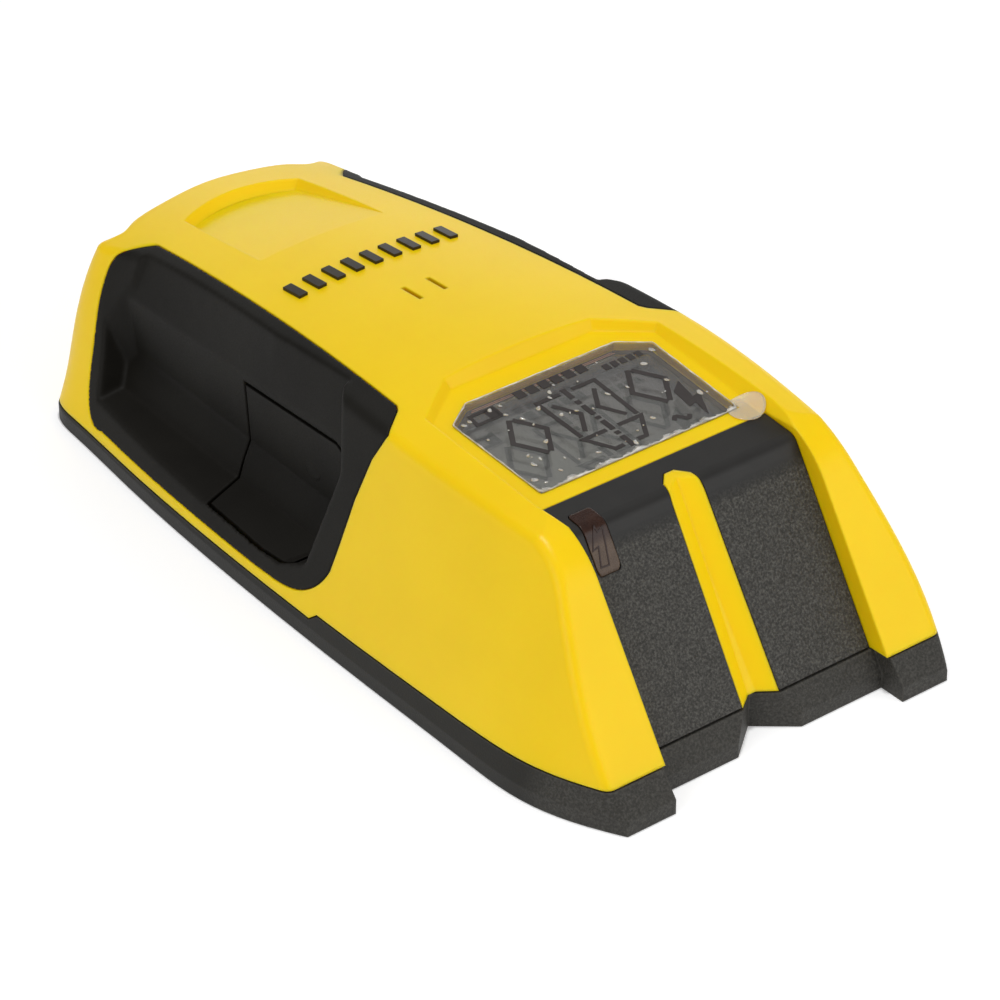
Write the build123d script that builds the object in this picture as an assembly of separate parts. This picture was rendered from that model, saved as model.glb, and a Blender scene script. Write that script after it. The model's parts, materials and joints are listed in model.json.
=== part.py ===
from build123d import *
import math
import os

# Handheld stud finder, lying on its sole. Millimetres.
# +Z is up, the marking nose points to -Y, the thumb end to +Y, and X = 0 is the plane of symmetry.
# The origin is the centre of the bounding box's base. The activation button is on the -X side.

# ---- driving dimensions ----
LENGTH = 164.0
HALF_LENGTH = LENGTH / 2
WALL = 2.2
BAND = 2.7                  # height of the vertical band round the sole
SHOULDER_ROUND = 2.0
TOP_LEVEL = 46.0            # level of the upper plan outline, above the crown
MID_LEVEL = 15.0            # level where the tail bulges most
FLOOR = 3.0                 # thickness of the sole plate
GAP = 0.15                  # visible joint between trim pieces
SEAM_GAP = 0.3              # groove between the two case halves

# Half outlines seen from above, as (x, y) from nose to tail.
SOLE_OUTLINE = [(31.4, -86), (36.0, -78), (38.9, -71.6), (40.9, -64), (41.45, -50), (41.3, -23),
                (40.9, 0), (40.0, 24), (38.0, 51), (36.3, 68)]
CROWN_OUTLINE = [(28.2, -86), (26.6, -78), (25.8, -71.6), (25.9, -64), (27.7, -50), (29.6, -23),
                 (28.1, 0), (25.3, 24), (21.1, 51), (18.1, 68)]
TAIL_CORNER = [(0.7, 7.0), (2.0, 4.2), (4.6, 2.4), (9.0, 1.5)]  # (in from the side, short of the tail)
TAIL_CURVE = 0.012          # fall of the tail wall per square millimetre of height

CROWN_PEAK = (-15.0, 43.3)  # (y, z) of the highest point of the spine
SPINE_RADIUS_REAR = 520.0
SPINE_RADIUS_FRONT = 350.0
CROWN_SECTIONS = [(-84, 200), (-50, 200), (-15, 200), (13, 170), (49, 115), (84, 68)]  # (y, radius)

HORN_SLOPE = 56.7           # degrees, front of the two horns
HORN_FOOT = (-78.6, 6.9)    # (y, z) where the horn slope starts at the seam
HORN_ROLL = 16.0
HORN_TOP_ANGLE = 6.0

FACE_HALF = 23.4            # half width of the sunken face between the horns
FACE_Y = -47.0              # rear edge of the black nose panel
FACE_Z = 38.3
FACE_TILT = math.degrees(math.atan(0.078))
ROLL_Y = -54.4              # where the face breaks down into the nose slope
ROLL_RADIUS = 2.6
NOSE_SLOPE = 57.0
PANEL_THICK = 2.0
SEAT_WALL = 1.8             # shell left under the panel
PAD_FRONT = -76.9           # front of the sole between the horns
NOTCH_APEX = -71.5
NOTCH_HALF = 6.7

SEAM = [(-84, 7.2), (-67, 6.65), (-48, 6.0), (-9.8, 5.5), (-8.0, 4.1), (84, 3.2)]  # (y, z)

# Grip outline in side view, (y, z), and the straight line of its upper edge in plan, (x, y).
GRIP_FRONT = [(-17.5, 40.3), (-15.0, 35.2), (-13.0, 27.4), (-11.5, 17.9), (-10.7, 13.6)]
GRIP_CORNER = [(-8.5, 10.2), (-4.4, 7.2), (0.5, 5.9)]
GRIP_BOTTOM = [(9.8, 5.4), (59.8, 5.0)]
GRIP_REAR = [(63.7, 5.3), (65.7, 7.1), (69.1, 15.3), (70.8, 22.5), (70.9, 27.7), (69.5, 32.0),
             (66.4, 34.1), (62.3, 35.6)]
GRIP_EDGE = [(25.3, -13.3), (20.0, 61.0)]
GRIP_TIP = [(26.1, -13.9), (31.2, -17.9)]                   # slanted front end in plan, (x, y)

SCOOP_RIDGE = [(26.6, -30.0), (26.4, 14.0), (21.5, 75.0)]   # upper ridge in plan, (x, y)
SCOOP_FLOOR = [(28.4, -30.0), (25.1, 75.0)]                 # floor line in plan, (x, y)
SCOOP_RIM = [(3.5, 4), (3.5, 8.2), (-3.8, 11.6), (-7.6, 29.0), (-9.2, 42.0), (-9.2, 50), (60.5, 50),
             (60.5, 35.6), (67.8, 32.0), (69.0, 27), (68.2, 22), (63.2, 8.6), (62.6, 4)]  # side view, (y, z)
SCOOP_SHELF = 8.6           # height of the finger shelf at the rim
SOFT_RIDGE_Z = 30.5
BUTTON_GAP = 0.6
BUTTON_THICK = 1.6
SWITCH = (8.0, 20.0)        # (y, z) of the switch axis
SWITCH_X = (17.5, 21.0)     # back and front of the switch body
STEM_TIP = 22.6
GRIP_WALL = 1.6             # shell wall behind each grip
AC_LENS = (-20.9, -16.4, -58.8, -50.7)
SLIT_X = 2.6
SLIT_Y = (10.5, 15.7)
FILM = (0.12, 0.24)
BADGE_Y = 28.0
BADGE_PITCH = 4.0
BADGE_STEPS = 4
BADGE_BAR = (0.85, 2.4)     # half width and half length of one raised bar
NOSE_SOLID = -69.0          # both halves are solid in front of this
BOARD_SEAT = 3.9            # underside of the sensing board
SCREW_SHAFT = 1.45
SCREW_TIP = 15.0
HEAD_Z = (0.3, 1.7)

DOOR_HALF = 13.9
DOOR_FRONT = 20.2
DOOR_THICK = 2.2
BATTERY = (26.5, 48.5, 17.5)
BATTERY_BASE = 3.4

BOARD_SCREWS = [(-24.0, -61.0), (24.0, -61.0), (-24.0, -9.0), (24.0, -9.0)]
SCREWS = [(-31.0, -56.0), (31.0, -56.0), (-21.5, 73.0), (21.5, 73.0)]

# Plane of the window and everything stacked under it: local x = X, local y runs to the rear.
FACE = Plane(origin=(0, FACE_Y, FACE_Z), x_dir=(1, 0, 0),
             z_dir=(0, -math.sin(math.radians(FACE_TILT)), math.cos(math.radians(FACE_TILT))))
WINDOW = [(-20.4, 3.4), (20.4, 3.4), (20.8, 25.5), (15.5, 29.1), (-15.5, 29.1), (-20.8, 25.5)]
RECESS = [(-21.8, -13.0), (21.8, -13.0), (23.3, 0.0), (23.3, 27.9), (14.9, 33.9), (-14.9, 33.9),
          (-23.3, 27.9), (-23.3, 0.0)]
FRAME_TOP = -2.3
GLASS_TOP = -5.0
GLASS_BASE = -7.2
BOARD_TOP = -10.5
BOARD_BASE = -12.1


# ---- helpers ----
def block(x0, x1, y0, y1, z0, z1):
    """Box from its two corners."""
    size = (x1 - x0, y1 - y0, z1 - z0)
    return Pos((x0 + x1) / 2, (y0 + y1) / 2, (z0 + z1) / 2) * Box(*size)


def rod(radius, start, end):
    """Cylinder between two points."""
    axis = Vector(*end) - Vector(*start)
    return extrude(Plane(origin=start, z_dir=axis) * Circle(radius), axis.length)


def side_prism(points, half_width, x_from=None):
    """Polygon given in side view as (y, z), extruded across the body."""
    start = -half_width if x_from is None else x_from
    face = make_face(Polyline(*[(start, y, z) for y, z in points], close=True))
    return extrude(face, amount=half_width - start, dir=(1, 0, 0))


def plan_prism(points, z0, z1):
    """Polygon given in plan as (x, y), extruded upwards."""
    return extrude(make_face(Polyline(*[(x, y, z0) for x, y in points], close=True)), z1 - z0, dir=(0, 0, 1))


def face_prism(points, low, high, taper=0):
    """Polygon on the window plane, extruded between two local heights."""
    plane = FACE.offset(low)
    return extrude(plane * make_face(Polyline(*points, close=True)), high - low, taper=taper)


def face_block(x0, x1, y0, y1, low, high):
    return face_prism([(x0, y0), (x1, y0), (x1, y1), (x0, y1)], low, high)


def between(line, y):
    """X on a plan polyline of (x, y) points at a given y."""
    for (xa, ya), (xb, yb) in zip(line, line[1:]):
        if y <= yb:
            break
    return xa + (xb - xa) * (y - ya) / (yb - ya)


def mirrored(shape):
    return mirror(shape, about=Plane.YZ)


# ---- outer form ----
def outline(points, level, inset, tail):
    """Closed plan outline at one level: the nose line and one spline round the sides and tail."""
    side = [(x - inset, y) for x, y in points]
    x_end = side[-1][0]
    tail_y = tail - inset
    half = side + [(x_end - dx, tail_y - dy) for dx, dy in TAIL_CORNER]
    ring = half + [(0, tail_y)] + [(-x, y) for x, y in half[::-1]]
    ring = [(x, y, level) for x, y in ring]
    return make_face(Wire([Spline(*ring), Line(ring[-1], ring[0])]))


def side_form(inset):
    """Walls that lean in from the sole outline to the crown outline."""
    def tail(level):
        return HALF_LENGTH - TAIL_CURVE * (level - MID_LEVEL) ** 2

    share = (MID_LEVEL - BAND) / (TOP_LEVEL - BAND)
    middle = [(a + (c - a) * share, b) for (a, b), (c, _) in zip(SOLE_OUTLINE, CROWN_OUTLINE)]
    levels = [(SOLE_OUTLINE, BAND), (middle, MID_LEVEL), (CROWN_OUTLINE, TOP_LEVEL)]
    faces = [outline(points, level, inset, tail(level)) for points, level in levels]
    walls = loft(faces)
    band = extrude(faces[0], BAND, dir=(0, 0, -1))
    return walls + band


def spine(y):
    """Height of the crown on the centre line."""
    radius = SPINE_RADIUS_REAR if y > CROWN_PEAK[0] else SPINE_RADIUS_FRONT
    return CROWN_PEAK[1] - (y - CROWN_PEAK[0]) ** 2 / (2 * radius)


def crown_form(inset):
    """Everything under the crowned top surface."""
    half = 48.0
    sections = []
    for y, radius in CROWN_SECTIONS:
        top = spine(y) - inset
        edge = top - (radius - math.sqrt(radius ** 2 - half ** 2))
        low = -1.0
        wire = Wire([
            Line((-half, y, low), (half, y, low)),
            Line((half, y, low), (half, y, edge)),
            ThreePointArc((half, y, edge), (0, y, top), (-half, y, edge)),
            Line((-half, y, edge), (-half, y, low)),
        ])
        sections.append(make_face(wire))
    return loft(sections)


def horn_profile(inset):
    """Side view that cuts the sloped nose and its roll."""
    run = math.tan(math.radians(HORN_SLOPE))
    rise = math.tan(math.radians(HORN_TOP_ANGLE))
    y0, z0 = HORN_FOOT
    top_y, top_z = -50.0, 40.0
    knee_y = (top_z - z0 + run * y0 - rise * top_y) / (run - rise)
    knee_z = z0 + run * (knee_y - y0)
    rear_z = top_z + rise * (90 - top_y)
    points = [(-HALF_LENGTH + inset, -1), (-HALF_LENGTH + inset, BAND), (y0 + inset, z0),
              (knee_y + inset * 0.6, knee_z - inset * 0.8), (90, rear_z - inset), (90, -1)]
    prism = side_prism(points, 60)
    knee = prism.edges().filter_by(Axis.X).sort_by_distance((0, knee_y, knee_z))[0]
    return fillet(knee, HORN_ROLL)


def envelope(inset):
    return side_form(inset) & crown_form(inset) & horn_profile(inset)


def outer_form():
    """The whole outer body with its shoulder and tail edges rounded."""
    body = envelope(0)
    shoulder = [e for e in body.edges()
                if e.center().Z > 12 and (e.length > 120 or abs(e.center().X) > 25)]
    return fillet(shoulder, SHOULDER_ROUND)


# ---- face and nose ----
def nose_line(depth):
    """Side view of the face and nose slope, sunk by depth, as (y, z) from rear to front foot."""
    slope = math.radians(NOSE_SLOPE)
    tilt = math.radians(FACE_TILT)
    roll_z = FACE_Z + (ROLL_Y - FACE_Y) * math.tan(tilt)
    turn = (slope + tilt) / 2
    roll = (ROLL_Y + depth * math.sin(turn) / math.cos(slope - turn),
            roll_z - depth * math.cos(turn) / math.cos(slope - turn))
    rear = (FACE_Y, FACE_Z - depth / math.cos(tilt))
    foot_z = -5.0
    foot = (roll[0] - (roll[1] - foot_z) / math.tan(slope), foot_z)
    return [rear, roll, foot]


def above_nose(depth, half_width):
    """Space above the sunk face and in front of the nose slope."""
    rear, roll, foot = nose_line(depth)
    points = [rear, roll, foot, (-95, foot[1]), (-95, 60), (rear[0], 60)]
    prism = side_prism(points, half_width)
    bend = prism.edges().filter_by(Axis.X).sort_by_distance((0, roll[0], roll[1]))[0]
    return fillet(bend, max(ROLL_RADIUS - depth, 0.4))


def channel_form(grow):
    """Tapered strip in the middle of the nose that carries the marking groove."""
    points = [(3.9, -78), (3.3, -55.5), (2.8, -52.6), (1.0, -50.6)]
    right = [(x + grow, y + (grow if y > -51 else 0)) for x, y in points]
    return plan_prism(right + [(-x, y) for x, y in right[::-1]], -5, 60)


def groove_form():
    """V groove down the nose slope, deeper towards the foot."""
    _, roll, foot = nose_line(0)
    low_depth = 2.9
    top_depth = 1.5
    slope = math.radians(NOSE_SLOPE)
    normal = Vector(0, -math.sin(slope), math.cos(slope))
    knee = Vector(0, roll[0], roll[1])
    base = Vector(0, foot[0], foot[1])

    def triangle(centre, half, depth):
        lift = 4.0
        spread = half * (1 + lift / depth)
        return make_face(Polyline(
            tuple(centre - normal * depth),
            tuple(centre + normal * lift + Vector(spread, 0, 0)),
            tuple(centre + normal * lift - Vector(spread, 0, 0)), close=True))

    return loft([triangle(knee + (knee - base) * 0.12, 3.2, top_depth), triangle(base, 4.0, low_depth)])


def face_cut():
    """What is taken out of the upper shell between the horns: the window recess and the panel's seat."""
    recess = face_prism(RECESS, 0, 8, taper=-38)
    seat = above_nose(PANEL_THICK, FACE_HALF) - (channel_form(0) - above_nose(0, FACE_HALF) - groove_form())
    return recess + seat


# ---- seam between the halves ----
def above_seam(lift):
    line = [(y, z + lift) for y, z in SEAM]
    return side_prism(line + [(84, 60), (-84, 60)], 60)


def below_seam(drop):
    line = [(y, z - drop) for y, z in SEAM]
    return side_prism(line + [(84, -5), (-84, -5)], 60)


# ---- grips ----
def grip_side(grow):
    """Grip outline seen from the side, as a prism across the right-hand half."""
    def grown(points):
        centre = Vector(0, 28, 22)
        out = []
        for y, z in points:
            away = Vector(0, y, z) - centre
            out.append(tuple(centre + away + away.normalized() * grow))
        return out

    front = grown([(-18.0, 50.0)] + GRIP_FRONT)
    corner = grown(GRIP_FRONT[-1:] + GRIP_CORNER + GRIP_BOTTOM[:1])
    rear = grown(GRIP_BOTTOM[-1:] + GRIP_REAR)
    top = (0, rear[-1][1], 50.0)
    edges = Polyline(*front).edges() + Polyline(*grown(GRIP_BOTTOM)).edges()
    edges += [Spline(*corner), Spline(*rear), Line(rear[-1], top), Line(top, front[0])]
    return extrude(make_face(Wire(edges)), 60, dir=(1, 0, 0))


def grip_plan(grow):
    """Everything outside the slanted plane behind the right-hand grip, and behind its slanted tip."""
    (xa, ya), (xb, yb) = GRIP_EDGE
    slope = (xb - xa) / (yb - ya)
    first, last = [(xa - grow + slope * (y - ya), y) for y in (-12.6 - grow, 90)]
    tip = [(x, y - grow) for x, y in GRIP_TIP]
    return plan_prism([first] + tip + [(60, tip[-1][1]), (60, 90), last], -1, 60)


def grip_volume(outer, grow):
    """Right-hand chunk of the outer form that the grip fills."""
    return outer & grip_side(grow) & grip_plan(grow)


def scoop_section(y):
    """Cross-section of the right-hand finger scoop at one station, open to the outside."""
    ridge = between(SCOOP_RIDGE, y)
    floor = between(SCOOP_FLOOR, y)
    ridge_z = spine(y) - ridge ** 2 / 380
    soft_z = SOFT_RIDGE_Z - 0.06 * y
    points = [(ridge - 0.6, ridge_z + 4), (ridge, ridge_z), (floor + 0.8, soft_z), (floor, SCOOP_SHELF + 7),
              (floor + 3.0, SCOOP_SHELF + 0.9), (38, SCOOP_SHELF), (60, SCOOP_SHELF - 1.5), (60, ridge_z + 4)]
    return make_face(Polyline(*[(x, y, z) for x, z in points], close=True))


def scoop_form():
    """Right-hand finger scoop: lofted sections, closed by slanted front and rear facets."""
    void = loft([scoop_section(y) for y in (-30, 20, 75)], ruled=True)
    plan = [(20, -1), (27.5, -1), (34, -8.5), (60, -38), (60, 84), (29.3, 69), (25.5, 63), (20, 62)]
    return void & plan_prism(plan, -1, 60) & side_prism(SCOOP_RIM, 60, 0)


def button_window(grow):
    """Side view of the button's edge, as a prism across the right-hand side."""
    points = [(27.6 + grow, 26.9 + grow), (0.5, 28.7 + grow), (-1.8 - grow, 27.4 + grow),
              (-5.9 - grow, 26.2), (-5.3 - grow, 24.0), (-3.9 - grow, 18.3), (-2.4 - grow, 12.4),
              (0.2 - grow, 9.4), (2.0 - grow, 4), (27.6 + grow, 4)]
    return side_prism(points, 60, 0)


def button_limit(grow):
    """Plan of the button: its rear edge runs forward as the shelf runs out, and its front follows the rim."""
    points = [(20, 27.6 + grow), (28, 27.2 + grow), (37.2 + grow, 24.4 + grow), (38.2 + grow, 8),
              (37.8 + grow, 1), (36, -9.5), (20, -9.5)]
    return plan_prism(points, -1, 60)


def grip_solids(outer):
    """Plain right-hand grip, the one with the button's opening, and the button, all on the +X side."""
    chunk = grip_volume(outer, -GAP)
    scoop = scoop_form()
    plain = chunk - scoop
    cored = plain - (button_window(BUTTON_GAP) & button_limit(BUTTON_GAP))
    depth = Pos(-BUTTON_THICK, 0, -BUTTON_THICK) * scoop
    button = plain & button_window(0) & button_limit(0) & depth
    y, z = SWITCH
    plunger = rod(2.0, (STEM_TIP, y, z), (27.5, y, z))
    return plain, cored, button + plunger


# ---- upper case half ----
def cavity(inset):
    """Hollow shared by both case halves."""
    inner = envelope(inset) & block(-60, 60, NOSE_SOLID, 90, FLOOR, 60)
    inner = inner - above_nose(PANEL_THICK + SEAT_WALL, 60)
    inner = inner - face_block(-60, 60, -20, 36, FRAME_TOP, 40)
    behind = grip_plan(GRIP_WALL) & (grip_side(GRIP_WALL) + block(0, 60, 0, 62, -1, 9))
    return inner - behind - mirrored(behind)


def boss(x, y, radius, low, high):
    return rod(radius, (x, y, low), (x, y, high))


def thumb_rest():
    """Shallow dish at the tail, deepest at its bowed rear edge."""
    rear = [(9.6, 64.6), (0, 66.4), (-9.6, 64.6)]
    edges = Polyline((9.6, 64.6, 33), (7.5, 38, 33), (-7.5, 38, 33), (-9.6, 64.6, 33)).edges()
    edges += [ThreePointArc(*[(x, y, 33) for x, y in rear])]
    prism = extrude(make_face(Wire(edges)), 10, dir=(0, 0, 1), taper=-40)
    pivot = Pos(0, 42, spine(42))
    sunk = pivot * Rot(-4.4, 0, 0) * Pos(0, -42, -spine(42)) * crown_form(0)
    return prism - sunk


def window_face(points, shrink):
    return offset(make_face(Polyline(*points, close=True)), amount=-shrink, kind=Kind.INTERSECTION)


def window_solid(shrink, low, high):
    return extrude(FACE.offset(low) * window_face(WINDOW, shrink), high - low)


def ac_window(depth, proud, grow):
    """Bent indicator lens that lies over the roll of the nose."""
    x0, x1, y0, y1 = AC_LENS
    slab = above_nose(depth, 60) - above_nose(-proud, 60)
    prism = block(x0 - grow, x1 + grow, y0 - grow, y1 + grow, 20, 45)
    prism = fillet(prism.edges().filter_by(Axis.Z), 0.7)
    return slab & prism


def top_shell(outer, hollow):
    shell = (outer & above_seam(0)) - face_cut() - thumb_rest()
    side = grip_side(0) & grip_plan(0)
    shell = shell - side - mirrored(side) - hollow
    for x, y in SCREWS:
        shell += boss(x, y, 3.3, 3.5, 60) & hollow & above_seam(0.1)
    for x, y in SCREWS:
        shell -= boss(x, y, SCREW_SHAFT + 0.05, 0, SCREW_TIP + 0.5)
    shell -= window_solid(0, -1.3, 3) + window_solid(1.1, -6, 3)
    shell -= ac_window(PANEL_THICK + 4, 0, -0.6)
    for x in (-SLIT_X, SLIT_X):
        shell -= block(x - 0.4, x + 0.4, SLIT_Y[0], SLIT_Y[1], 36, 50)
    y, z = SWITCH
    return shell - rod(2.1, (-26, y, z), (-20, y, z))


def nose_panel():
    x, y0, y1 = FACE_HALF - GAP, -80.0, FACE_Y - GAP
    slab = above_nose(PANEL_THICK - 0.02, x) - above_nose(0, 60)
    slab = slab & above_seam(GAP) & block(-x, x, y0, y1, 0, 60)
    return slab - channel_form(GAP) - ac_window(PANEL_THICK + 1, 1, 0.12)


# ---- lower case half ----
def notch():
    run = NOTCH_HALF / (NOTCH_APEX - PAD_FRONT)
    reach = 8.0
    front = NOTCH_APEX - reach
    return plan_prism([(0, NOTCH_APEX), (reach * run, front), (-reach * run, front)], -1, 9)


def nose_gap():
    """Space in front of the pads, between the horns."""
    line = [(PAD_FRONT, -1), (PAD_FRONT, BAND), (-74.3, 7.2), (-73.2, 9), (-95, 9), (-95, -1)]
    return side_prism(line, FACE_HALF + 0.6)


def base_shell(outer, hollow):
    base = (outer & below_seam(SEAM_GAP)) - nose_gap() - notch() - hollow
    lip = (envelope(WALL + 0.15) - envelope(WALL + 1.35)) & below_seam(-0.8)
    base += lip & hollow
    for x, y in SCREWS[:2]:
        base += boss(x, y, 3.6, 0.5, 5.9)
    for x, y in SCREWS:
        base -= boss(x, y, 3.1, -1, HEAD_Z[1]) + boss(x, y, 1.7, 0, 8)
    for x, y in BOARD_SCREWS:
        base += boss(x, y, 2.0, FLOOR - 0.5, BOARD_SEAT)
        base -= boss(x, y, 0.8, 1.0, 10)
    base -= block(-DOOR_HALF - 0.2, DOOR_HALF + 0.2, DOOR_FRONT - 0.2, 90, -1, 10)
    return base - block(-DOOR_HALF - 1.5, DOOR_HALF + 1.5, DOOR_FRONT - 0.2, 90, 0.9, 2.1)


def battery_door(outer):
    door = block(-DOOR_HALF, DOOR_HALF, DOOR_FRONT, 79, 0, DOOR_THICK)
    door += block(-DOOR_HALF - 1.3, DOOR_HALF + 1.3, DOOR_FRONT, 76.5, 1.0, 2.0)
    door += block(-DOOR_HALF, DOOR_HALF, 76.8, 90, 0, 10)
    door = door & outer & below_seam(SEAM_GAP)
    for step in range(5):
        y = 62 + 2.4 * step
        door -= block(-7, 7, y, y + 1.0, -1, 0.5)
    return door


# ---- small parts on the outside ----
def badge_bars(outer):
    """Row of plain raised bars across the crown."""
    solids = []
    top = crown_form(-0.55)
    wide, long = BADGE_BAR
    for step in range(-BADGE_STEPS, BADGE_STEPS + 1):
        x = step * BADGE_PITCH
        bar = block(x - wide, x + wide, BADGE_Y - long, BADGE_Y + long, 30, 60)
        solids += ((bar & top) - outer).solids()
    return Compound(children=solids)


def window_film():
    """Thin protective film with a round pull tab at one corner."""
    tab_x, tab_y = 20.2, 1.6
    sheet = window_face(WINDOW, -0.25) + Pos(tab_x, tab_y) * Circle(2.9)
    return extrude(FACE.offset(FILM[0]) * sheet, FILM[1] - FILM[0])


# ---- display stack ----
def lcd_frame():
    ring = face_block(-22.6, 22.6, 0.5, 31.0, GLASS_TOP + 0.05, FRAME_TOP - 0.05)
    ring -= window_solid(0.4, -8, 0)
    for x0, x1 in ((-22.4, -21.6), (21.6, 22.4)):
        ring += face_block(x0, x1, 2, 30, BOARD_TOP, GLASS_TOP + 0.5)
    return ring


def lcd_glass():
    upper = face_block(-21.5, 21.5, 1.5, 30.0, GLASS_TOP - 1.1, GLASS_TOP)
    return upper + face_block(-21.5, 21.5, 3.5, 28.0, GLASS_BASE, GLASS_TOP - 1.1)


def zebra_strips():
    top = GLASS_TOP - 1.1
    return Compound(children=[face_block(-19, 19, y, y + 1.6, BOARD_TOP, top) for y in (1.7, 28.2)])


def main_board():
    wide = face_block(-22.4, 22.4, -2, 34, BOARD_BASE, BOARD_TOP)
    return wide + face_block(-19.5, 19.5, 34, 70, BOARD_BASE, BOARD_TOP)


def microcontroller():
    body = face_block(-14, -4, 38, 48, BOARD_TOP + 0.1, BOARD_TOP + 1.6)
    for step in range(8):
        y = 38.8 + 1.2 * step
        body += face_block(-15.2, -2.8, y - 0.2, y + 0.2, BOARD_TOP, BOARD_TOP + 0.5)
    return body


def board_components():
    """Crystal, coil and capacitors on the main board."""
    sizes = [(4, 39, 4.5, 1.8, 3.5), (11, 40, 5, 5, 2.6), (5, 45, 3.2, 1.6, 1.2), (11, 48, 3.2, 1.6, 1.2),
             (-12, 53, 3.2, 1.6, 1.2), (-16, 60, 5.0, 3.0, 2.0), (14, 58, 4.0, 6.0, 2.2)]
    solids = [face_block(x, x + w, y, y + d, BOARD_TOP, BOARD_TOP + h) for x, y, w, d, h in sizes]
    return Compound(children=solids)


def buzzer():
    centre = FACE.offset(BOARD_TOP) * Pos(0, 60.2, 0)
    body = centre * Pos(0, 0, 3.5) * Cylinder(6.0, 7.0)
    body = fillet(body.edges().filter_by(GeomType.CIRCLE), 0.5)
    return body - centre * Pos(0, 0, 6.5) * Cylinder(1.2, 2.0)


def nose_point(depth, drop):
    """Point under the AC lens: drop measured down the slope from the roll, depth into the body."""
    slope = math.radians(NOSE_SLOPE)
    x = (AC_LENS[0] + AC_LENS[1]) / 2
    roll = nose_line(0)[1]
    y = roll[0] - drop * math.cos(slope) + depth * math.sin(slope)
    z = roll[1] - drop * math.sin(slope) - depth * math.cos(slope)
    return (x, y, z)


def ac_led():
    shoulder, back = nose_point(5.0, 3.2), nose_point(8.2, 3.2)
    return rod(1.5, back, shoulder) + Pos(*shoulder) * Sphere(1.5)


def led_leads():
    solids = []
    for side in (-1.27, 1.27):
        x, y, z = nose_point(8.4, 3.2)
        x += side * 0.7
        foot = FACE.from_local_coords((x, -1.2, BOARD_TOP + 0.15))
        solids.append(rod(0.25, (x, y, z), foot))
    return Compound(children=solids)


# ---- sensing and power ----
def sensor_board():
    board = block(-27, 27, -64, -6, BOARD_SEAT, BOARD_SEAT + 1.6)
    for x, y in BOARD_SCREWS:
        board -= boss(x, y, 0.8, 0, 10)
    return board


def board_screws():
    solids = []
    top = BOARD_SEAT + 1.6
    for x, y in BOARD_SCREWS:
        screw = boss(x, y, 1.5, top, top + 1.1) + boss(x, y, 0.75, 1.2, top)
        solids.append(screw - block(x - 1, x + 1, y - 0.2, y + 0.2, top + 0.6, top + 2))
    return Compound(children=solids)


def sensor_electrodes():
    plates = [(-20, -9), (-7, 7), (9, 20)]
    return Compound(children=[block(a, b, -60, -14, BOARD_SEAT - 0.3, BOARD_SEAT) for a, b in plates])


def board_header():
    body = block(-8, 8, -11.3, -8.7, BOARD_SEAT + 1.6, BOARD_SEAT + 4.1)
    for step in range(6):
        x = -6.35 + 2.54 * step
        body += boss(x, -10, 0.35, BOARD_SEAT + 1.6, 28.95)
    return body


def battery():
    w, _, h = BATTERY
    body = block(-w / 2, w / 2, 27.6, 74.0, BATTERY_BASE, BATTERY_BASE + h)
    return fillet(body.edges().filter_by(Axis.Y), 2.0)


def snap(x, z, y0, y1, male):
    """One half of a battery snap: a plain stud or a hollow cup."""
    if male:
        return rod(2.85, (x, y0, z), (x, y1, z))
    return rod(4.2, (x, y0, z), (x, y1, z)) - rod(3.0, (x, y0 - 1, z), (x, y1 + 1, z))


def battery_terminals():
    z = BATTERY_BASE + BATTERY[2] / 2
    return Compound(children=[snap(-6.35, z, 25.2, 27.6, True), snap(6.35, z, 25.2, 27.6, False)])


def contact_snaps():
    z = BATTERY_BASE + BATTERY[2] / 2
    cup = rod(4.2, (-6.35, 22.0, z), (-6.35, 27.3, z)) - rod(3.0, (-6.35, 23.5, z), (-6.35, 28, z))
    stud = rod(2.85, (6.35, 22.0, z), (6.35, 27.2, z))
    return Compound(children=[cup, stud])


def contact_board():
    return block(-13, 13, 20.4, 22.0, 4.0, 20.6)


def contact_pins():
    return Compound(children=[boss(x, 21.2, 0.5, 20.6, 31.4) for x in (-6.35, 6.35)])


def battery_tray():
    tray = block(-15.6, 15.6, 18.4, 76.0, 3.05, 22.6) - block(-13.8, 13.8, 19.6, 75.0, 2, 21.4)
    for x in (-6.35, 6.35):
        tray -= boss(x, 21.2, 0.9, 20, 24)
    return tray


def switch_board():
    return block(SWITCH_X[0] - 1.6, SWITCH_X[0], 1, 15, 13, 29.8)


def tactile_switch():
    y, z = SWITCH
    body = block(SWITCH_X[0], SWITCH_X[1], y - 3, y + 3, z - 3, z + 3)
    return body - rod(1.8, (SWITCH_X[0] + 1.2, y, z), (SWITCH_X[1] + 1, y, z))


def switch_stem():
    y, z = SWITCH
    return rod(1.7, (SWITCH_X[0] + 2.45, y, z), (STEM_TIP, y, z))


def case_screws():
    solids = []
    for x, y in SCREWS:
        screw = boss(x, y, 2.8, HEAD_Z[0], HEAD_Z[1]) + boss(x, y, SCREW_SHAFT, HEAD_Z[1], SCREW_TIP)
        slot = block(x - 1.8, x + 1.8, y - 0.35, y + 0.35, -1, HEAD_Z[0] + 0.7)
        cross = block(x - 0.35, x + 0.35, y - 1.8, y + 1.8, -1, HEAD_Z[0] + 0.7)
        solids.append(screw - slot - cross)
    return Compound(children=solids)


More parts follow.
